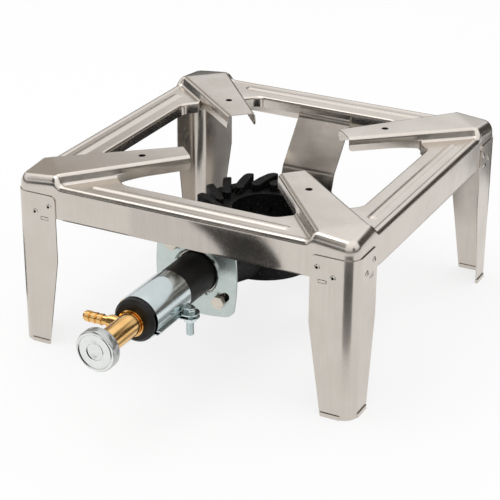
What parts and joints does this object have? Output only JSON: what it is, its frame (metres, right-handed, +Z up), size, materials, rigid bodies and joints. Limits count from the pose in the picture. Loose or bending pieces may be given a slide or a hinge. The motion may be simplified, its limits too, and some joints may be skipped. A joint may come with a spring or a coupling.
{
  "type": "stock pot range",
  "caption": "Low square single-burner gas stool cooker with pressed stainless frame, angle legs, cast-iron ring burner and side gas inlet with air shutter and brass valve.",
  "frame": {"origin": "on the floor, under the burner's axis", "axes": "+Z is up towards the pot, +X runs right along the front side, -Y is the front, where the gas inlet train sticks out; the hose barb points to -X"},
  "size_m": [0.405, 0.5663, 0.202],
  "materials": {
    "stainless": "satin",
    "zinc": "bright zinc plated",
    "cast_iron": "matte black",
    "black_metal": "satin black",
    "brass": "turned",
    "wheel_metal": "satin",
    "rubber": "matte"
  },
  "bodies": {
    "stove": {"top_frame": "stainless", "front_left_leg": "stainless", "front_right_leg": "stainless", "rear_left_leg": "stainless", "rear_right_leg": "stainless", "leg_rivets": "stainless", "rear_burner_strap": "stainless", "front_burner_hanger": "stainless", "strap_bolts": "zinc", "burner_body": "cast_iron", "burner_crown": "cast_iron", "crown_screws": "zinc", "flange_plate": "zinc", "flange_bolts": "zinc", "flange_nuts": "zinc", "mixing_tube": "black_metal", "jet_holder": "black_metal", "gas_jet": "brass", "valve_body": "brass", "hose_barb": "brass", "spindle_o_ring": "rubber", "gland_nut": "brass"},
    "air_shutter": {"air_shutter_sleeve": "zinc", "clamp_screw": "zinc", "clamp_nut": "zinc"},
    "needle": {"valve_needle": "brass"},
    "hand_wheel": {"valve_spindle": "brass", "knob": "wheel_metal", "knob_screw": "zinc"}
  },
  "joints": [
    {"name": "air_shutter_slide", "type": "slide", "parent": "stove", "child": "air_shutter", "axis": [0, 1, 0], "range_m": [-0.003, 0.045]},
    {"name": "needle_lift", "type": "slide", "parent": "stove", "child": "needle", "axis": [0, -1, 0], "range_m": [0, 0.0024]},
    {"name": "hand_wheel_turn", "type": "hinge", "parent": "needle", "child": "hand_wheel", "pos_m": [0, -0.3, 0.11], "axis": [0, -1, 0], "range_deg": [0, 1080]}
  ],
  "couplings": [
    {"joint": "needle_lift", "follows": "hand_wheel_turn", "m_per_rad": 0.0001273}
  ]
}
